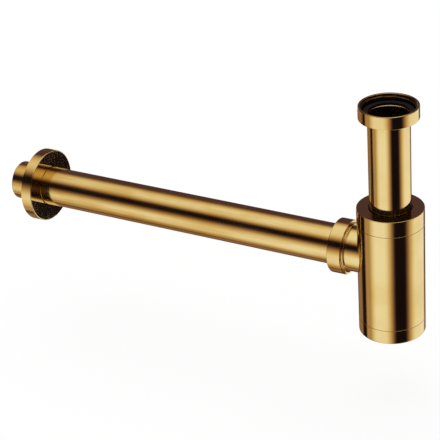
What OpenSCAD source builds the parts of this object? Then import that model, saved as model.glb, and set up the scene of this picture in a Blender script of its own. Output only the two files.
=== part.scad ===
// Bottle trap for a wash basin: a union nut and a straight inlet tube drop into a round bottle,
// and a long outlet tube leaves its side towards the wall.
// The origin is the centre of the inlet mouth. +Z points up out of the mouth, and the outlet runs along -X.

/* [Inlet union] */
// Major diameter of the thread in the inlet nut
inlet_thread_d = 41.91; // [38:0.01:46]
// Depth of the thread in the inlet nut, which the tube's flange and the washer have to pass
inlet_thread_depth = 1.48; // [1.1:0.01:1.8]
// Wall of the inlet nut over its thread
inlet_nut_wall = 1.8; // [1.3:0.1:3]
// Height of the inlet nut
inlet_nut_h = 10; // [8.5:0.5:16]
// Thickness of the lip that carries the tube's flange
inlet_lip_t = 1.8; // [1.2:0.1:3]
// Depth of the thread relief beside the washer
inlet_relief = 0.3; // [0.25:0.05:0.5]
// Thickness of the inlet washer
inlet_washer_t = 2; // [1.2:0.1:3]

/* [Inlet tube] */
// Outside diameter of the inlet tube
inlet_tube_d = 32; // [28:0.5:35]
// Wall of both tubes
tube_wall = 1; // [0.7:0.1:1.6]
// Thickness of the flange at the top of the inlet tube
flange_lip_t = 1.2; // [0.8:0.1:2]
// Rounding of the inlet tube's mouth
mouth_round = 1.1; // [0.4:0.1:1.2]
// Gap between the lower end of the inlet tube and the floor of the cup
dip_gap = 10.3; // [8:0.1:30]

/* [Bottle] */
// Drop from the inlet mouth to the outlet axis
drop = 125.7; // [100:0.1:200]
// Outside diameter of the bottle, the gland nut and the cup
bottle_d = 51.6; // [50:0.2:64]
// Wall of the bottle
bottle_wall = 2.2; // [2:0.1:3]
// Height of the gland nut's top above the outlet axis
rise = 42; // [41:0.5:70]
// Depth of the underside below the outlet axis
fall = 63.8; // [50:0.1:120]
// Thickness of the land that guides the inlet tube under its seal
land_t = 2.5; // [1.5:0.1:4]

/* [Gland nut] */
// Height of the gland nut
gland_nut_h = 12.9; // [11:0.1:13.5]
// Wall of the gland nut over its thread
gland_nut_wall = 1.8; // [1.3:0.1:2.4]
// Thickness of the gland nut's top
gland_top_t = 2.4; // [1.5:0.1:3]
// Gap round the inlet tube in the gland nut's top
gland_hole_gap = 0.9; // [0.4:0.1:1.2]
// Thickness of the slip ring under the gland nut
gland_slip_t = 1.2; // [0.8:0.1:2]
// Height of the tapered seal under the gland nut
gland_seal_h = 6.2; // [4:0.1:7]
// Wall of the bottle's neck above its seat
neck_wall = 2.6; // [1.8:0.1:3]

/* [Cup] */
// Visible height of the cup
cup_h = 11.6; // [9:0.1:24]
// Thickness of the cup's floor
cup_floor_t = 2.4; // [1.6:0.1:4]
// Length of the cup's screw inside the bottle
cup_screw_l = 6.9; // [5:0.1:8]
// Wall of the cup's screw
cup_screw_wall = 1.8; // [1.4:0.1:2.5]
// Wall of the bottle over the cup's thread
cup_socket_wall = 1.9; // [1.8:0.1:2.3]
// Thickness of the round cup seal
cup_seal_d = 1.5; // [1.2:0.1:1.7]
// Rounding of the cup's lower edge
cup_edge = 1; // [0.3:0.1:2]
// Rounding inside the cup, between floor and wall
cup_bowl_round = 3; // [1:0.1:5]

/* [Outlet spigot and nut] */
// Outside diameter of the spigot
spigot_d = 36; // [35:0.5:37]
// Distance from the bottle's axis to the start of the spigot's thread
spigot_l = 31.7; // [29:0.1:40]
// Diameter of the spigot's thread
outlet_thread_d = 39; // [38.4:0.1:44]
// Length of bare thread between spigot and outlet nut
thread_show = 2; // [0.5:0.1:4]
// Height of the outlet nut
outlet_nut_h = 11; // [9.5:0.1:16]
// Wall of the outlet nut over its thread
outlet_nut_wall = 1.9; // [1.3:0.1:3]
// Thickness of the outlet nut's lip
outlet_lip_t = 2.2; // [1.5:0.1:3]
// Thickness of the slip ring in the outlet nut
outlet_slip_t = 1.2; // [0.8:0.1:2]
// Length of the tapered seal in the outlet nut
outlet_seal_h = 5.6; // [3.5:0.1:6.5]
// Wall of the spigot round its seat, at the mouth
spigot_rim = 0.9; // [0.7:0.1:1.2]

/* [Outlet tube] */
// Outside diameter of the outlet tube
outlet_tube_d = 32; // [30:0.5:32.5]
// Distance from the bottle's axis to the far end of the outlet tube
reach = 344.4; // [250:0.1:500]
// Gap between the two tubes inside the bottle
tube_gap = 6; // [5:0.1:7]

/* [Wall flange] */
// Diameter of the wall flange
wall_flange_d = 60.5; // [54:0.5:80]
// Depth of the wall flange
wall_flange_h = 9.4; // [8:0.1:16]
// Thickness of the flange's sheet
wall_flange_t = 1.2; // [0.8:0.1:2]
// Gap round the outlet tube in the flange's front
flange_hole_gap = 0.6; // [0.4:0.1:1]
// Length of tube behind the flange
stub = 20.2; // [10:0.1:60]
// Rounding of the flange's front edge
wall_flange_edge = 0.6; // [0.2:0.1:1.2]
// Thickness of the round seal inside the flange's hub
flange_seal_d = 2; // [1.5:0.1:2.4]

/* [Fits] */
// Radial gap between a screw and its nut
thread_gap = 0.1; // [0.05:0.01:0.15]
// Radial gap between a seal and its tube or seat
seal_gap = 0.08; // [0.03:0.01:0.1]
// Radial gap between a tube and the piece that guides it
guide_gap = 0.35; // [0.3:0.05:0.5]
// Small chamfer on turned edges
edge = 0.4; // [0.2:0.1:0.5]

/* [Hidden] */
$fn = 96;
GOLD = [0.80, 0.62, 0.27];
BRUSHED_GOLD = [0.74, 0.56, 0.23];
RUBBER = [0.06, 0.06, 0.06];
SLIP_PLASTIC = [0.16, 0.15, 0.14];

arc_steps = 6;
thread_relief = 0.7;
relief_l = 1.2;
seat_step = 0.4;

inlet_tube_r = inlet_tube_d / 2;
inlet_bore_r = inlet_tube_r - tube_wall;
inlet_thread_r = inlet_thread_d / 2;
inlet_nut_r = inlet_thread_r + inlet_nut_wall;
inlet_flange_r = inlet_thread_r - inlet_thread_depth - thread_gap;
flange_lip_low = -inlet_nut_h + inlet_lip_t;
flange_lip_top = flange_lip_low + flange_lip_t;
washer_top = flange_lip_top + inlet_washer_t;

bottle_r = bottle_d / 2;
chamber_r = bottle_r - bottle_wall;
top_z = rise - drop;
shoulder_z = top_z - gland_nut_h;
base_z = cup_h - fall - drop;
under_z = -fall - drop;
cup_floor_z = under_z + cup_floor_t;
dip_z = cup_floor_z + dip_gap;

neck_r = bottle_r - gland_nut_wall - thread_gap;
gland_slip_z = top_z - gland_top_t - gland_slip_t;
gland_seal_top_r = neck_r - neck_wall;
gland_seal_low_z = gland_slip_z - gland_seal_h;
neck_top_z = gland_slip_z - seal_gap;
land_r = inlet_tube_r + guide_gap;
seat_low_r = land_r + seat_step;

socket_r = bottle_r - cup_socket_wall;
cup_screw_r = socket_r - thread_gap;
cup_bowl_r = cup_screw_r - cup_screw_wall;
cup_seal_r = cup_screw_r;
cup_groove_r = cup_seal_r - cup_seal_d / 2 - seal_gap;
seal_recess_r = cup_seal_r + cup_seal_d / 2 + seal_gap;
seal_recess_h = cup_seal_d + 2 * seal_gap;

outlet_tube_r = outlet_tube_d / 2;
outlet_bore_r = outlet_tube_r - tube_wall;
spigot_r = spigot_d / 2;
spigot_bore_r = outlet_tube_r + guide_gap;
outlet_thread_r = outlet_thread_d / 2;
outlet_nut_bore_r = outlet_thread_r + thread_gap;
outlet_nut_r = outlet_nut_bore_r + outlet_nut_wall;
outlet_nut_near = spigot_l + thread_show;
outlet_nut_far = outlet_nut_near + outlet_nut_h;
outlet_slip_far = outlet_nut_far - outlet_lip_t;
outlet_seal_far = outlet_slip_far - outlet_slip_t;
outlet_seal_near = outlet_seal_far - outlet_seal_h;
spigot_mouth = outlet_seal_far - seal_gap;
outlet_seal_top_r = outlet_thread_r - spigot_rim;
outlet_seat_low_r = spigot_bore_r + seat_step;
tube_near = inlet_tube_r + tube_gap;

flange_back = reach - stub;
flange_front = flange_back - wall_flange_h;
wall_flange_r = wall_flange_d / 2;
flange_hole_r = outlet_tube_r + flange_hole_gap;
hub_bore_r = outlet_tube_r + guide_gap;
hub_groove_r = outlet_tube_r + flange_seal_d + 2 * seal_gap;
hub_r = hub_groove_r + wall_flange_t;
hub_lip_t = 1;
groove_near = flange_front + hub_lip_t;
groove_far = groove_near + flange_seal_d + 2 * seal_gap;
hub_end = groove_far + hub_lip_t;

// Points of an arc about a centre, from one angle to another
function arc(centre, radius, from, to) =
    [for (i = [0:arc_steps])
        let (angle = from + (to - from) * i / arc_steps)
        centre + radius * [cos(angle), sin(angle)]];

// Width of a cone's wall, measured square to the axis, for a gap measured square to the wall
function cone_gap(gap, slant, height) = gap * sqrt(slant * slant + height * height) / height;

// A turned piece: its points are radius and height
module turned(points) {
    rotate_extrude() polygon(points);
}

// Turns what stands on +Z to lie along the outlet, away from the bottle
module along_outlet() {
    translate([0, 0, -drop]) rotate([0, -90, 0]) children();
}

// A flat ring with small chamfers, from one height to another
module ring(inner, outer, low, high, bevel) {
    turned([
        [inner, low],
        [outer - bevel, low],
        [outer, low + bevel],
        [outer, high - bevel],
        [outer - bevel, high],
        [inner, high]
    ]);
}

// A round seal of circular section
module round_seal(middle_r, thickness, height) {
    rotate_extrude() translate([middle_r, height]) circle(d = thickness);
}

// A tapered compression seal, wide at its high end
module tapered_seal(inner, low_r, high_r, low, high, rim) {
    turned([
        [inner, low],
        [low_r, low],
        [high_r, high - rim],
        [high_r, high],
        [inner, high]
    ]);
}

module inlet_nut() {
    lip_r = inlet_tube_r + guide_gap + edge / 2;
    relief_r = inlet_thread_r + inlet_relief;
    color(GOLD) turned([
        [lip_r, -inlet_nut_h],
        [inlet_nut_r - edge, -inlet_nut_h],
        [inlet_nut_r, edge - inlet_nut_h],
        [inlet_nut_r, -edge],
        [inlet_nut_r - edge, 0],
        [inlet_thread_r, 0],
        [inlet_thread_r, washer_top],
        [relief_r, washer_top],
        [relief_r, flange_lip_low],
        [lip_r, flange_lip_low]
    ]);
}

module inlet_washer() {
    color(RUBBER)
        ring(inlet_bore_r + edge, inlet_flange_r, flange_lip_top, washer_top, edge / 2);
}

module inlet_tube() {
    root = guide_gap;
    round_centre = [inlet_bore_r + mouth_round, flange_lip_top - mouth_round];
    root_centre = [inlet_tube_r + root, flange_lip_low - root];
    color(GOLD) turned(concat(
        [[inlet_bore_r, dip_z], [inlet_tube_r - tube_wall / 4, dip_z], [inlet_tube_r, dip_z + tube_wall / 2]],
        arc(root_centre, root, 180, 90),
        [[inlet_flange_r, flange_lip_low], [inlet_flange_r, flange_lip_top]],
        arc(round_centre, mouth_round, 90, 180)
    ));
}

module gland_nut() {
    hole_r = inlet_tube_r + gland_hole_gap;
    bore_r = neck_r + thread_gap;
    roof_z = top_z - gland_top_t;
    color(GOLD) turned([
        [bore_r + edge, shoulder_z],
        [bottle_r, shoulder_z],
        [bottle_r, top_z - edge],
        [bottle_r - edge, top_z],
        [hole_r, top_z],
        [hole_r, roof_z],
        [bore_r, roof_z],
        [bore_r, shoulder_z + edge]
    ]);
}

module gland_slip_ring() {
    color(SLIP_PLASTIC)
        ring(land_r, neck_r - guide_gap, gland_slip_z, gland_slip_z + gland_slip_t, edge / 2);
}

module gland_seal() {
    slant = gland_seal_top_r - seat_low_r;
    side_gap = cone_gap(seal_gap, slant, gland_seal_h);
    color(RUBBER) tapered_seal(
        inlet_tube_r + seal_gap,
        seat_low_r - side_gap,
        gland_seal_top_r - side_gap,
        gland_seal_low_z,
        gland_slip_z,
        seal_gap
    );
}

// The bottle's wall, neck and socket as one turned piece, with a port for the spigot in its side
module bottle_body() {
    land_low_z = gland_seal_low_z - seal_gap - land_t;
    roof_z = land_low_z - (chamber_r - land_r) / 2;
    socket_top_z = base_z + cup_screw_l + relief_l;
    color(GOLD) difference() {
        turned([
            [bottle_r, base_z],
            [bottle_r, shoulder_z],
            [neck_r - thread_relief, shoulder_z],
            [neck_r - thread_relief, shoulder_z + relief_l - edge],
            [neck_r, shoulder_z + relief_l],
            [neck_r, neck_top_z - edge],
            [neck_r - edge, neck_top_z],
            [gland_seal_top_r, neck_top_z],
            [seat_low_r, gland_seal_low_z - seal_gap],
            [land_r, gland_seal_low_z - seal_gap],
            [land_r, land_low_z],
            [chamber_r, roof_z],
            [chamber_r, socket_top_z],
            [socket_r, socket_top_z - edge],
            [socket_r, base_z + seal_recess_h],
            [seal_recess_r, base_z + seal_recess_h],
            [seal_recess_r, base_z]
        ]);
        along_outlet() cylinder(r = spigot_r, h = bottle_d);
    }
}

// A threaded spigot let into the bottle's port, its inner end cut to the round of the chamber
module outlet_spigot() {
    root = spigot_l + relief_l;
    seat_low = outlet_seal_near - seal_gap;
    color(GOLD) difference() {
        along_outlet() turned([
            [spigot_bore_r, 0],
            [spigot_r, 0],
            [spigot_r, spigot_l],
            [outlet_thread_r - edge, spigot_l],
            [outlet_thread_r, spigot_l + edge],
            [outlet_thread_r, spigot_mouth - edge],
            [outlet_thread_r - edge, spigot_mouth],
            [outlet_seal_top_r, spigot_mouth],
            [outlet_seat_low_r, seat_low],
            [spigot_bore_r, seat_low]
        ]);
        translate([0, 0, -drop]) cylinder(r = chamber_r, h = bottle_d, center = true);
    }
}

// The screw-out cup: a bowl inside, a screw that enters the bottle and a groove for its seal
module cleaning_cup() {
    screw_top_z = base_z + cup_screw_l;
    bowl_centre = [cup_bowl_r - cup_bowl_round, cup_floor_z + cup_bowl_round];
    edge_centre = [bottle_r - cup_edge, under_z + cup_edge];
    color(GOLD) turned(concat(
        [[0, under_z]],
        arc(edge_centre, cup_edge, -90, 0),
        [
            [bottle_r, base_z],
            [cup_groove_r, base_z],
            [cup_groove_r, base_z + seal_recess_h],
            [cup_screw_r, base_z + seal_recess_h],
            [cup_screw_r, screw_top_z - edge],
            [cup_screw_r - edge, screw_top_z],
            [cup_bowl_r, screw_top_z]
        ],
        arc(bowl_centre, cup_bowl_round, 0, -90),
        [[0, cup_floor_z]]
    ));
}

module cup_seal() {
    color(RUBBER) round_seal(cup_seal_r, cup_seal_d, base_z + seal_recess_h / 2);
}

module outlet_nut() {
    hole_r = outlet_tube_r + guide_gap;
    color(GOLD) along_outlet() turned([
        [outlet_nut_bore_r + edge, outlet_nut_near],
        [outlet_nut_r - edge, outlet_nut_near],
        [outlet_nut_r, outlet_nut_near + edge],
        [outlet_nut_r, outlet_nut_far - edge],
        [outlet_nut_r - edge, outlet_nut_far],
        [hole_r, outlet_nut_far],
        [hole_r, outlet_slip_far],
        [outlet_nut_bore_r, outlet_slip_far],
        [outlet_nut_bore_r, outlet_nut_near + edge]
    ]);
}

module outlet_slip_ring() {
    color(SLIP_PLASTIC) along_outlet() ring(
        outlet_tube_r + guide_gap,
        outlet_nut_bore_r - guide_gap,
        outlet_seal_far,
        outlet_slip_far,
        edge / 2
    );
}

module outlet_seal() {
    slant = outlet_seal_top_r - outlet_seat_low_r;
    side_gap = cone_gap(seal_gap, slant, outlet_seal_h);
    color(RUBBER) along_outlet() tapered_seal(
        outlet_tube_r + seal_gap,
        outlet_seat_low_r - side_gap,
        outlet_seal_top_r - side_gap,
        outlet_seal_near,
        outlet_seal_far,
        seal_gap
    );
}

module outlet_tube() {
    color(BRUSHED_GOLD) along_outlet() turned([
        [outlet_bore_r, tube_near],
        [outlet_tube_r - tube_wall / 4, tube_near],
        [outlet_tube_r, tube_near + tube_wall / 2],
        [outlet_tube_r, reach - tube_wall / 2],
        [outlet_tube_r - tube_wall / 4, reach],
        [outlet_bore_r, reach]
    ]);
}

// A hollow disc that hides the hole in the wall, with a grooved hub behind its flat front
module wall_flange() {
    edge_centre = [wall_flange_r - wall_flange_edge, flange_front + wall_flange_edge];
    color(GOLD) along_outlet() turned(concat(
        [[wall_flange_r - wall_flange_t, flange_back], [wall_flange_r, flange_back]],
        arc(edge_centre, wall_flange_edge, 0, -90),
        [
            [flange_hole_r, flange_front],
            [hub_bore_r, groove_near - hub_lip_t / 2],
            [hub_bore_r, groove_near],
            [hub_groove_r, groove_near],
            [hub_groove_r, groove_far],
            [hub_bore_r, groove_far],
            [hub_bore_r, hub_end],
            [hub_r, hub_end],
            [hub_r, flange_front + wall_flange_t],
            [wall_flange_r - wall_flange_t, flange_front + wall_flange_t]
        ]
    ));
}

module flange_seal() {
    middle_r = outlet_tube_r + seal_gap + flange_seal_d / 2;
    color(RUBBER) along_outlet()
        round_seal(middle_r, flange_seal_d, (groove_near + groove_far) / 2);
}

inlet_nut();
inlet_washer();
inlet_tube();
gland_nut();
gland_slip_ring();
gland_seal();
bottle_body();
outlet_spigot();
cleaning_cup();
cup_seal();
outlet_nut();
outlet_slip_ring();
outlet_seal();
outlet_tube();
wall_flange();
flange_seal();
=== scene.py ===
"""Looks of a gold bottle trap: turned and threaded pieces, metal, rubber, studio and camera.

Lengths in the profiles are millimetres in the row frame; everything that Blender gets is in metres.
"""

import math

import bpy
from mathutils import Matrix, Vector


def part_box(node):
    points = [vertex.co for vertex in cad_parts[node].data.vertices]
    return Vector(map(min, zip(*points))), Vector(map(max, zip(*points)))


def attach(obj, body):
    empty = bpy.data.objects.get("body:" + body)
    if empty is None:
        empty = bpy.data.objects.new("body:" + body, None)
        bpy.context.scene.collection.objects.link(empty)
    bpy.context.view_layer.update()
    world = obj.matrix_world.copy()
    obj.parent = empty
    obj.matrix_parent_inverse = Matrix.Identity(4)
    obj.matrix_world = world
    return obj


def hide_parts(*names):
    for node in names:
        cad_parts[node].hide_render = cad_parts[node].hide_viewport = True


MM = 0.001
SEGMENTS = 160
TAU = 2 * math.pi

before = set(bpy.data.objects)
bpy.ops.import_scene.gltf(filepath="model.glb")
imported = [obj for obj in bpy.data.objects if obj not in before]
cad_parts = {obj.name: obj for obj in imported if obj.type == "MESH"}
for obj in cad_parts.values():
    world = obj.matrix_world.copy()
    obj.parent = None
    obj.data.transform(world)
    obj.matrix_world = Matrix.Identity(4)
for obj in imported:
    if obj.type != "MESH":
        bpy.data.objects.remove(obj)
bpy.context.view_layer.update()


def mm_box(node):
    """Lowest and highest corners of a CAD node, in millimetres."""
    low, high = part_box(node)
    return low / MM, high / MM


# ---------------------------------------------------------------- node graphs


class Graph:
    """A node tree with short calls for the nodes that the materials and the world need."""

    def __init__(self, tree):
        self.tree = tree
        tree.nodes.clear()

    def add(self, kind, **settings):
        node = self.tree.nodes.new(kind)
        for key, value in settings.items():
            setattr(node, key, value)
        return node

    def put(self, socket, value):
        if isinstance(value, bpy.types.NodeSocket):
            self.tree.links.new(value, socket)
        else:
            socket.default_value = value

    def math(self, operation, *values):
        node = self.add("ShaderNodeMath", operation=operation)
        for socket, value in zip(node.inputs, values):
            self.put(socket, value)
        return node.outputs[0]

    def ease(self, value, start, end, low=0.0, high=1.0):
        """A smooth step from low at start to high at end."""
        node = self.add("ShaderNodeMapRange", interpolation_type="SMOOTHSTEP")
        if start > end:
            start, end, low, high = end, start, high, low
        for name, x in (("Value", value), ("From Min", start), ("From Max", end), ("To Min", low), ("To Max", high)):
            self.put(node.inputs[name], x)
        return node.outputs[0]

    def span(self, value, low, high):
        node = self.add("ShaderNodeMapRange")
        for name, x in (("Value", value), ("To Min", low), ("To Max", high)):
            self.put(node.inputs[name], x)
        return node.outputs[0]

    def ramp(self, value, stops):
        node = self.add("ShaderNodeValToRGB")
        elements = node.color_ramp.elements
        while len(elements) < len(stops):
            elements.new(0.5)
        for element, (position, colour) in zip(elements, stops):
            element.position = position
            element.color = (*colour, 1)
        self.put(node.inputs[0], value)
        return node.outputs[0]

    def mix(self, factor, a, b):
        node = self.add("ShaderNodeMix", data_type="RGBA")
        for socket, value in ((node.inputs[0], factor), (node.inputs[6], a), (node.inputs[7], b)):
            self.put(socket, value)
        return node.outputs[2]

    def noise(self, vector, scale, detail=2.0, rough=0.5):
        node = self.add("ShaderNodeTexNoise")
        self.put(node.inputs["Vector"], vector)
        for name, x in (("Scale", scale), ("Detail", detail), ("Roughness", rough)):
            self.put(node.inputs[name], x)
        return node.outputs["Fac"]

    def stretched(self, scale):
        """Object coordinates in millimetres, scaled along each axis."""
        coords = self.add("ShaderNodeTexCoord")
        mapping = self.add("ShaderNodeMapping")
        self.put(mapping.inputs["Vector"], coords.outputs["Object"])
        self.put(mapping.inputs["Scale"], Vector(scale) / MM)
        return mapping.outputs["Vector"]

    def bump(self, height, strength, distance, normal=None):
        node = self.add("ShaderNodeBump")
        self.put(node.inputs["Height"], height)
        self.put(node.inputs["Strength"], strength)
        self.put(node.inputs["Distance"], distance)
        if normal is not None:
            self.put(node.inputs["Normal"], normal)
        return node.outputs["Normal"]


def new_material(name):
    material = bpy.data.materials.new(name)
    material.use_nodes = True
    graph = Graph(material.node_tree)
    shader = graph.add("ShaderNodeBsdfPrincipled")
    output = graph.add("ShaderNodeOutputMaterial")
    graph.put(output.inputs["Surface"], shader.outputs["BSDF"])
    return material, graph, shader.inputs


GOLD_LIGHT = (0.815, 0.650, 0.305, 1)
GOLD_DEEP = (0.760, 0.570, 0.230, 1)


def polished_gold():
    """Polished plating: faint clouds of colour, soft wipe marks in the gloss and a hint of unevenness."""
    material, g, shader = new_material("polished_gold_plate")
    clouds = g.noise(g.stretched((0.03, 0.03, 0.03)), 1.0, 3.0)
    wipes = g.noise(g.stretched((0.25, 0.25, 0.06)), 1.0, 4.0, 0.6)
    g.put(shader["Base Color"], g.mix(g.ease(clouds, 0.35, 0.7), GOLD_LIGHT, GOLD_DEEP))
    g.put(shader["Metallic"], 1.0)
    g.put(shader["Roughness"], g.ease(wipes, 0.3, 0.75, 0.07, 0.12))
    g.put(shader["Normal"], g.bump(g.noise(g.stretched((0.12, 0.12, 0.05)), 1.0, 1.0), 0.15, 0.00005))
    return material


def brushed_gold():
    """The long tube: streaks along its length in colour, gloss and relief."""
    material, g, shader = new_material("brushed_gold_plate")
    long_streaks = g.noise(g.stretched((0.012, 0.22, 0.22)), 1.0, 4.0, 0.6)
    fine_streaks = g.noise(g.stretched((0.05, 1.6, 1.6)), 1.0, 3.0, 0.6)
    patches = g.noise(g.stretched((0.03, 0.09, 0.09)), 1.0, 2.0)
    both = g.math("ADD", g.math("MULTIPLY", long_streaks, 0.6), g.math("MULTIPLY", patches, 0.4))
    g.put(shader["Base Color"], g.mix(g.ease(both, 0.38, 0.64), GOLD_LIGHT, (0.70, 0.49, 0.165, 1)))
    g.put(shader["Metallic"], 1.0)
    g.put(shader["Roughness"], g.ease(fine_streaks, 0.25, 0.75, 0.10, 0.18))
    g.put(shader["Normal"], g.bump(fine_streaks, 0.2, 0.00004))
    return material


def painted_shade_bore():
    """The inside of a nut: dull bronze darkened to near-black as painted shade in the bore, with tool marks."""
    material, g, shader = new_material("painted_shade_bronze_bore")
    marks = g.noise(g.stretched((0.15, 0.15, 1.5)), 1.0, 3.0)
    # Near-black bronze colours: painted shade for the inside of a bore.
    g.put(shader["Base Color"], g.mix(marks, (0.10, 0.055, 0.022, 1), (0.16, 0.10, 0.045, 1)))
    g.put(shader["Metallic"], 1.0)
    g.put(shader["Roughness"], g.ease(marks, 0.3, 0.7, 0.28, 0.42))
    g.put(shader["Normal"], g.bump(marks, 0.2, 0.00003))
    return material


def black_rubber():
    material, g, shader = new_material("black_rubber_moulded")
    grain = g.noise(g.stretched((1.2, 1.2, 1.2)), 1.0, 4.0, 0.6)
    bloom = g.noise(g.stretched((0.1, 0.1, 0.1)), 1.0, 3.0)
    g.put(shader["Base Color"], g.mix(bloom, (0.004, 0.004, 0.005, 1), (0.009, 0.008, 0.008, 1)))
    g.put(shader["Roughness"], g.ease(grain, 0.3, 0.7, 0.5, 0.7))
    g.put(shader["Specular IOR Level"], 0.25)
    g.put(shader["Normal"], g.bump(grain, 0.3, 0.00005))
    return material


def slip_plastic():
    material, g, shader = new_material("slip_plastic_moulded")
    flow = g.noise(g.stretched((0.3, 0.3, 0.3)), 1.0, 3.0)
    g.put(shader["Base Color"], g.mix(flow, (0.020, 0.019, 0.018, 1), (0.030, 0.028, 0.026, 1)))
    g.put(shader["Roughness"], g.ease(flow, 0.3, 0.7, 0.38, 0.5))
    g.put(shader["Normal"], g.bump(flow, 0.15, 0.00003))
    return material


MATERIALS = {
    "polished_gold": polished_gold(),
    "brushed_gold": brushed_gold(),
    "black_rubber": black_rubber(),
    "slip_plastic": slip_plastic(),
}
PAINTED_SHADE_BORE = painted_shade_bore()

# ---------------------------------------------------------------- turned pieces


class Thread:
    """A helical thread of the row's own pitch, cut between two heights of a turned profile."""

    def __init__(self, low, high, pitch, depth, shift=0.0, run_out=0.6):
        self.low, self.high, self.pitch, self.depth = low, high, pitch, depth
        self.shift, self.run_out = shift, run_out

    def cut(self, turn, height):
        """How far the surface lies inside the crest, at a share of a turn and a height."""
        wave = 0.5 - 0.5 * math.cos(TAU * (height / self.pitch - turn) + self.shift)
        groove = min(1, max(0, 1.7 * wave - 0.35))
        ends = min(height - self.low, self.high - height) / (self.run_out * self.pitch)
        return self.depth * groove * min(1, max(0, ends))


def rounded(corners, steps=4):
    """Profile points from corners of (radius, height) or (radius, height, rounding)."""
    points = []
    for i, corner in enumerate(corners):
        here = Vector(corner[:2])
        if len(corner) < 3:
            points.append(here)
            continue
        before = (Vector(corners[i - 1][:2]) - here).normalized()
        after = (Vector(corners[(i + 1) % len(corners)][:2]) - here).normalized()
        for step in range(steps + 1):
            t = step / steps
            a, b = here + before * corner[2], here + after * corner[2]
            points.append(a * (1 - t) ** 2 + here * 2 * t * (1 - t) + b * t * t)
    return points


def with_thread(points, radius, thread):
    """Adds points along the profile's edge at a radius, close enough to carry the thread."""
    out = []
    for i, point in enumerate(points):
        out.append(point)
        nxt = points[(i + 1) % len(points)]
        if abs(point.x - radius) < 1e-6 and abs(nxt.x - radius) < 1e-6:
            count = max(1, round(abs(nxt.y - point.y) / thread.pitch * 12))
            out += [point.lerp(nxt, k / count) for k in range(1, count)]
    return out


def turned(name, corners, threads=(), segments=SEGMENTS):
    """A turned mesh about +Z. Threads are (radius, thread, side): side -1 cuts inwards, +1 outwards."""
    points = rounded(corners)
    for radius, thread, side in threads:
        points = with_thread(points, radius, thread)
    closed = min(p.x for p in points) > 1e-6
    vertices, rings = [], []
    for p in points:
        if p.x <= 1e-6:
            rings.append([len(vertices)] * segments)
            vertices.append((0, 0, p.y * MM))
            continue
        first = len(vertices)
        for k in range(segments):
            r = p.x
            for radius, thread, side in threads:
                if abs(p.x - radius) < 1e-6 and thread.low <= p.y <= thread.high:
                    cut = thread.cut(k / segments, p.y)
                    r += side * cut
            angle = TAU * k / segments
            vertices.append((r * MM * math.cos(angle), r * MM * math.sin(angle), p.y * MM))
        rings.append(list(range(first, first + segments)))
    faces = []
    for i in range(len(rings) if closed else len(rings) - 1):
        a, b = rings[i], rings[(i + 1) % len(rings)]
        for k in range(segments):
            n = (k + 1) % segments
            face = [a[k], a[n], b[n], b[k]]
            faces.append([v for j, v in enumerate(face) if v != face[j - 1]])
    mesh = bpy.data.meshes.new(name)
    mesh.from_pydata(vertices, [], faces)
    mesh.validate()
    return bpy.data.objects.new(name, mesh)


ALONG_OUTLET = Matrix(((0, 0, -1, 0), (0, 1, 0, 0), (1, 0, 0, 0), (0, 0, 0, 1)))


def lay_along_outlet(piece, axis_z):
    """Turns a piece made about +Z so that its heights run along -X on the outlet's axis."""
    piece.data.transform(Matrix.Translation((0, 0, axis_z * MM)) @ ALONG_OUTLET)
    return piece


def cut_away(piece, tool):
    """Takes the tool's volume out of the piece, and drops the tool."""
    scene = bpy.context.scene
    scene.collection.objects.link(tool)
    modifier = piece.modifiers.new("cut", "BOOLEAN")
    modifier.operation = "DIFFERENCE"
    modifier.solver = "EXACT"
    modifier.object = tool
    bpy.context.view_layer.update()
    evaluated = piece.evaluated_get(bpy.context.evaluated_depsgraph_get())
    mesh = bpy.data.meshes.new_from_object(evaluated)
    piece.modifiers.clear()
    piece.data = mesh
    bpy.data.objects.remove(tool)


def paint_bore_shade(piece, bore_r, low, high):
    """Gives the faces inside a bore about +Z, between two heights, the near-black finish of painted shade."""
    mesh = piece.data
    mesh.materials.clear()
    mesh.materials.append(MATERIALS["polished_gold"])
    mesh.materials.append(PAINTED_SHADE_BORE)
    for face in mesh.polygons:
        x, y, z = face.center / MM
        if math.hypot(x, y) < bore_r and low < z < high:
            face.material_index = 1


def finish_piece(piece, body, slot, node):
    """Shades a turned piece as fine metal, and sets it on its body in place of its CAD node."""
    mesh = piece.data
    mesh.polygons.foreach_set("use_smooth", [True] * len(mesh.polygons))
    mesh.set_sharp_from_angle(angle=math.radians(38))
    weighted = piece.modifiers.new("weighted", "WEIGHTED_NORMAL")
    weighted.keep_sharp = True
    if not mesh.materials:
        mesh.materials.append(MATERIALS[slot])
    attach(piece, body)
    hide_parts(node)


def add_turned(name, corners, threads=(), axis_z=None, tools=(), segments=SEGMENTS):
    piece = turned(name, corners, threads, segments)
    if axis_z is not None:
        lay_along_outlet(piece, axis_z)
    bpy.context.scene.collection.objects.link(piece)
    for tool in tools:
        cut_away(piece, tool)
    return piece


# Sizes that the turned pieces share with the solids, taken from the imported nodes
nut_low, nut_high = mm_box("inlet_nut")
tube_low, tube_high = mm_box("inlet_tube")
gland_low, gland_high = mm_box("gland_nut")
bottle_low, bottle_high = mm_box("bottle_body")
cup_low, cup_high = mm_box("cleaning_cup")
spigot_low, spigot_high = mm_box("outlet_spigot")
outlet_nut_low, outlet_nut_high = mm_box("outlet_nut")
washer_low, washer_high = mm_box("inlet_washer")
seal_low, seal_high = mm_box("gland_seal")
slip_low, slip_high = mm_box("gland_slip_ring")
tail_low, tail_high = mm_box("outlet_seal")

TUBE_R = 16.0
GUIDE = 0.35
GAP = 0.08
THREAD_GAP = 0.1
EDGE = 0.4
BOTTLE_R = gland_high.x
OUTLET_Z = (outlet_nut_low.z + outlet_nut_high.z) / 2
PITCH = 2.3125
OUTLET_PITCH = 1.502

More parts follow.
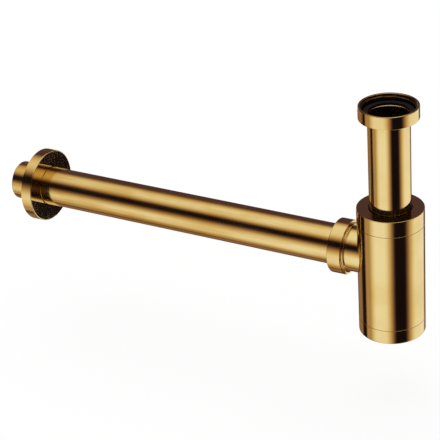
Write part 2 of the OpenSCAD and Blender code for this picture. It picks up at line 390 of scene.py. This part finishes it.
# Union nut on the inlet
nut_r = nut_high.x
mouth_r = nut_r - 1.8
relief_r = mouth_r + 0.3
lip_r = TUBE_R + GUIDE + EDGE / 2
lip_top = nut_low.z + 1.8
union_thread = Thread(washer_high.z + 0.2, -0.5, 2.309, 1.1)
union_nut = add_turned(
    "union_nut",
    [
        (lip_r, nut_low.z, 0.2),
        (nut_r, nut_low.z, 0.5),
        (nut_r, 0, 0.55),
        (mouth_r, 0, 0.35),
        (mouth_r, washer_high.z),
        (relief_r, washer_high.z),
        (relief_r, lip_top),
        (lip_r, lip_top),
    ],
    [(mouth_r, union_thread, -1)],
)
# Painted shade inside the union nut: its bore's faces take the near-black finish.
paint_bore_shade(union_nut, mouth_r + 0.9, lip_top - 0.1, -0.3)
finish_piece(union_nut, "inlet_nut", "polished_gold", "inlet_nut")

# Gland nut
neck_r = BOTTLE_R - 1.8 - THREAD_GAP
gland_bore_r = neck_r + THREAD_GAP
roof_z = gland_high.z - 2.4
gland_hole_r = TUBE_R + 0.9
gland_thread = Thread(gland_low.z + 0.6, roof_z - 0.6, PITCH, 0.7)
gland_ring = add_turned(
    "gland_ring",
    [
        (gland_bore_r + EDGE, gland_low.z),
        (BOTTLE_R, gland_low.z, 0.35),
        (BOTTLE_R, gland_high.z, 0.4),
        (gland_hole_r, gland_high.z, 0.06),
        (gland_hole_r, roof_z),
        (gland_bore_r, roof_z),
        (gland_bore_r, gland_low.z + EDGE),
    ],
    [(gland_bore_r, gland_thread, 1)],
)
finish_piece(gland_ring, "gland_nut", "polished_gold", "gland_nut")

# Bottle, with its neck above and its socket below
base_z = bottle_low.z
shoulder_z = gland_low.z
chamber_r = BOTTLE_R - 2.2
land_r = TUBE_R + GUIDE
seat_low_r = land_r + EDGE
seat_top_r = neck_r - 2.6
neck_top = bottle_high.z
seat_z = seal_low.z - GAP
land_low = seat_z - 2.5
chamber_top = land_low - (chamber_r - land_r) / 2
socket_r = BOTTLE_R - 1.9
socket_top = base_z + 6.9 + 1.2
recess_h = 1.5 + 2 * GAP
recess_r = socket_r - THREAD_GAP + 0.75 + GAP
neck_thread = Thread(shoulder_z + 1.4, neck_top, PITCH, 0.7)
socket_thread = Thread(base_z + recess_h + 0.3, socket_top - 0.6, PITCH, 0.6)
SPIGOT_R = 18.0
port = lay_along_outlet(turned("port", [(0, 0), (SPIGOT_R, 0), (SPIGOT_R, 60), (0, 60)], segments=96), OUTLET_Z)
bottle_shell = add_turned(
    "bottle_shell",
    [
        (BOTTLE_R, base_z, 0.35),
        (BOTTLE_R, shoulder_z, 0.35),
        (neck_r - 0.7, shoulder_z),
        (neck_r - 0.7, shoulder_z + 0.8),
        (neck_r, shoulder_z + 1.2),
        (neck_r, neck_top, 0.3),
        (seat_top_r, neck_top, 0.1),
        (seat_low_r, seat_z),
        (land_r, seat_z),
        (land_r, land_low),
        (chamber_r, chamber_top),
        (chamber_r, socket_top),
        (socket_r, socket_top - EDGE),
        (socket_r, base_z + recess_h),
        (recess_r, base_z + recess_h),
        (recess_r, base_z),
    ],
    [(neck_r, neck_thread, -1), (socket_r, socket_thread, 1)],
    tools=[port],
)
finish_piece(bottle_shell, "bottle", "polished_gold", "bottle_body")

# Cup with its screw
under_z = cup_low.z
cup_floor = under_z + 2.4
screw_r = socket_r - THREAD_GAP
bowl_r = screw_r - 1.8
screw_top = cup_high.z
groove_r = screw_r - 0.75 - GAP
cup_thread = Thread(base_z + recess_h, screw_top, PITCH, 0.6)
cup_shell = add_turned(
    "cup_shell",
    [
        (0, under_z),
        (BOTTLE_R, under_z, 1.0),
        (BOTTLE_R, base_z, 0.35),
        (groove_r, base_z, 0.1),
        (groove_r, base_z + recess_h, 0.1),
        (screw_r, base_z + recess_h, 0.1),
        (screw_r, screw_top, 0.4),
        (bowl_r, screw_top, 0.2),
        (bowl_r, cup_floor, 3.0),
        (0, cup_floor),
    ],
    [(screw_r, cup_thread, -1)],
)
finish_piece(cup_shell, "cup", "polished_gold", "cleaning_cup")

# Spigot with its bare ring of thread
thread_r = spigot_high.y
spigot_end = -spigot_low.x
thread_start = 31.7
seat_near = -tail_high.x - GAP
rim_r = thread_r - 0.9
tail_thread = Thread(thread_start + 0.3, spigot_end - 0.2, OUTLET_PITCH, 0.55)
hollow = turned("hollow", [(0, base_z - 5), (chamber_r, base_z - 5), (chamber_r, shoulder_z), (0, shoulder_z)])
spigot = add_turned(
    "threaded_spigot",
    [
        (TUBE_R + GUIDE, 0),
        (SPIGOT_R, 0),
        (SPIGOT_R, thread_start, 0.1),
        (thread_r, thread_start, 0.3),
        (thread_r, spigot_end, 0.4),
        (rim_r, spigot_end, 0.1),
        (TUBE_R + GUIDE + EDGE, seat_near),
        (TUBE_R + GUIDE, seat_near),
    ],
    [(thread_r, tail_thread, -1)],
    axis_z=OUTLET_Z,
    tools=[hollow],
)
finish_piece(spigot, "bottle", "polished_gold", "outlet_spigot")

# Compression nut on the outlet
nut_near, nut_far = -outlet_nut_high.x, -outlet_nut_low.x
comp_r = outlet_nut_high.y
comp_bore_r = thread_r + THREAD_GAP
comp_lip = nut_far - 2.2
comp_thread = Thread(nut_near + 0.5, comp_lip - 0.4, OUTLET_PITCH, 0.55)
compression_nut = add_turned(
    "compression_nut",
    [
        (comp_bore_r, nut_near, 0.3),
        (comp_r, nut_near, 0.15),
        (comp_r, nut_far, 0.5),
        (TUBE_R + GUIDE, nut_far, 0.25),
        (TUBE_R + GUIDE, comp_lip),
        (comp_bore_r, comp_lip),
    ],
    [(comp_bore_r, comp_thread, 1)],
    axis_z=OUTLET_Z,
)
finish_piece(compression_nut, "outlet_nut", "polished_gold", "outlet_nut")

# The other nodes keep their shapes and take a finish
SLOT_OF = {
    "inlet_washer": "black_rubber",
    "inlet_tube": "polished_gold",
    "gland_slip_ring": "slip_plastic",
    "gland_seal": "black_rubber",
    "cup_seal": "black_rubber",
    "outlet_slip_ring": "slip_plastic",
    "outlet_seal": "black_rubber",
    "outlet_tube": "brushed_gold",
    "wall_flange": "polished_gold",
    "flange_seal": "black_rubber",
}
for node_name, slot_name in SLOT_OF.items():
    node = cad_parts[node_name]
    node.data.materials.clear()
    node.data.materials.append(MATERIALS[slot_name])

# ---------------------------------------------------------------- studio


def studio_world():
    """White to the camera; to metal, a studio of soft cards and dark gaps, placed by compass and height."""
    world = bpy.data.worlds.new("studio")
    world.use_nodes = True
    bpy.context.scene.world = world
    g = Graph(world.node_tree)
    direction = g.add("ShaderNodeSeparateXYZ")
    g.put(direction.inputs[0], g.add("ShaderNodeTexCoord").outputs["Generated"])
    x, y, z = direction.outputs
    compass = g.math("DEGREES", g.math("ARCTAN2", y, x))
    height = g.math("DEGREES", g.math("ARCSINE", z))

    def card(rise, full, fade, gone):
        """A card's brightness round the compass, from where it starts to where it ends."""
        middle = (full + fade) / 2
        angle = g.math("WRAP", g.math("SUBTRACT", compass, middle), 180.0, -180.0)
        up = g.ease(angle, rise - middle, full - middle)
        down = g.ease(angle, gone - middle, fade - middle)
        return g.math("MULTIPLY", up, down)

    def brightest(first, *others):
        for other in others:
            first = g.math("MAXIMUM", first, other)
        return first

    left_card = card(-163, -118, -90, -50)
    left_edge = g.math("MULTIPLY", card(-168, -160, -110, -90), 0.36)
    right_card = card(-20, 26, 68, 90)
    far_wall = g.math("MULTIPLY", card(120, 150, 168, 178), 0.22)
    low = g.math("MULTIPLY", brightest(left_card, left_edge, right_card, far_wall), g.ease(height, 22, -25))
    back_band = g.math("MULTIPLY", g.ease(height, -26, -16), g.ease(height, 22, 8))
    back_card = g.math("MULTIPLY", card(122, 134, 150, 164), g.math("MULTIPLY", back_band, 0.85))
    dim_wall = g.math("MULTIPLY", card(78, 95, 165, 185), 0.06)
    underneath = g.math("MULTIPLY", g.ease(height, -48, -62), 0.15)
    overhead = g.ease(height, 33, 66)
    level = brightest(low, back_card, dim_wall, underneath, overhead)
    shade = g.ramp(
        level,
        [
            (0.0, (0.010, 0.006, 0.008)),
            (0.06, (0.085, 0.046, 0.060)),
            (0.20, (0.30, 0.17, 0.087)),
            (0.42, (0.56, 0.39, 0.22)),
            (0.70, (0.80, 0.68, 0.46)),
            (1.0, (1.0, 1.0, 1.0)),
        ],
    )
    path = g.add("ShaderNodeLightPath").outputs
    plain = g.math("MAXIMUM", path["Is Camera Ray"], path["Is Transmission Ray"])
    around = g.mix(plain, (0.55, 0.55, 0.55, 1), (1, 1, 1, 1))
    background = g.add("ShaderNodeBackground")
    g.put(background.inputs["Color"], g.mix(path["Is Glossy Ray"], around, shade))
    g.put(background.inputs["Strength"], 1.0)
    output = g.add("ShaderNodeOutputWorld")
    g.put(output.inputs["Surface"], background.outputs["Background"])


def studio_floor():
    """A pale floor below the lowest reach of the bottle, white to the camera but for the soft shadow."""
    half, level = 6.0, -0.245
    mesh = bpy.data.meshes.new("floor")
    mesh.from_pydata(
        [(-half, -half, level), (half, -half, level), (half, half, level), (-half, half, level)], [], [(0, 1, 2, 3)]
    )
    floor = bpy.data.objects.new("floor", mesh)
    bpy.context.scene.collection.objects.link(floor)
    material = bpy.data.materials.new("floor_white")
    material.use_nodes = True
    g = Graph(material.node_tree)
    diffuse = g.add("ShaderNodeBsdfDiffuse")
    g.put(diffuse.inputs["Color"], (0.9, 0.9, 0.9, 1))
    glow = g.add("ShaderNodeEmission")
    g.put(glow.inputs["Color"], (1, 1, 1, 1))
    g.put(glow.inputs["Strength"], 1.0)
    mixer = g.add("ShaderNodeMixShader")
    path = g.add("ShaderNodeLightPath").outputs
    g.put(mixer.inputs[0], g.math("MULTIPLY", path["Is Camera Ray"], 0.86))
    g.put(mixer.inputs[1], diffuse.outputs[0])
    g.put(mixer.inputs[2], glow.outputs[0])
    output = g.add("ShaderNodeOutputMaterial")
    g.put(output.inputs["Surface"], mixer.outputs[0])
    mesh.materials.append(material)
    floor.visible_glossy = False


def dark_flag():
    """A small black flag that only metal sees, where the flange's flat front would mirror a bright card."""
    away = Vector((0.548, 0.711, -0.440)).normalized()
    across = away.cross(Vector((0, 0, 1))).normalized()
    upward = across.cross(away)
    middle = Vector((-0.3148, 0, -0.1257)) + away * 0.2
    half = 0.038
    corners = [middle + across * half * a + upward * half * b for a, b in ((-1, -1), (1, -1), (1, 1), (-1, 1))]
    mesh = bpy.data.meshes.new("dark_flag")
    mesh.from_pydata(corners, [], [(0, 1, 2, 3)])
    flag = bpy.data.objects.new("dark_flag", mesh)
    bpy.context.scene.collection.objects.link(flag)
    material = bpy.data.materials.new("dark_flag_cloth")
    material.use_nodes = True
    g = Graph(material.node_tree)
    glow = g.add("ShaderNodeEmission")
    g.put(glow.inputs["Color"], (0.013, 0.008, 0.012, 1))
    output = g.add("ShaderNodeOutputMaterial")
    g.put(output.inputs["Surface"], glow.outputs[0])
    mesh.materials.append(material)
    flag.visible_camera = flag.visible_diffuse = flag.visible_shadow = flag.visible_transmission = False


def studio_lamp():
    lamp = bpy.data.lights.new("soft_overhead", "SUN")
    lamp.energy = 1.9
    lamp.angle = math.radians(70)
    holder = bpy.data.objects.new("soft_overhead", lamp)
    holder.rotation_euler = (math.radians(-12), math.radians(-14), 0)
    holder.visible_glossy = False
    bpy.context.scene.collection.objects.link(holder)


def camera():
    """The photograph's view: compass and height of the camera, its roll, distance and focal length."""
    compass, height, roll = math.radians(31.196), math.radians(27.9), math.radians(-4.14)
    distance, focal_px, frame_px = 1321.6, 1642.7, 440
    target = Vector((-149.97, 0, -125.59))
    back = Vector((math.sin(compass) * math.cos(height), -math.cos(compass) * math.cos(height), math.sin(height)))
    level = Vector((math.cos(compass), math.sin(compass), 0))
    up = back.cross(level)
    right = math.cos(roll) * level + math.sin(roll) * up
    top = back.cross(right)
    lens = bpy.data.cameras.new("camera")
    lens.sensor_width = 36
    lens.lens = focal_px / frame_px * lens.sensor_width
    lens.clip_start, lens.clip_end = 0.05, 30
    holder = bpy.data.objects.new("camera", lens)
    place = Matrix((right, top, back)).transposed().to_4x4()
    place.translation = (target + back * distance) * MM
    holder.matrix_world = place
    bpy.context.scene.collection.objects.link(holder)
    bpy.context.scene.camera = holder


camera()
studio_world()
studio_floor()
dark_flag()
studio_lamp()
bpy.context.scene.view_settings.view_transform = "Standard"
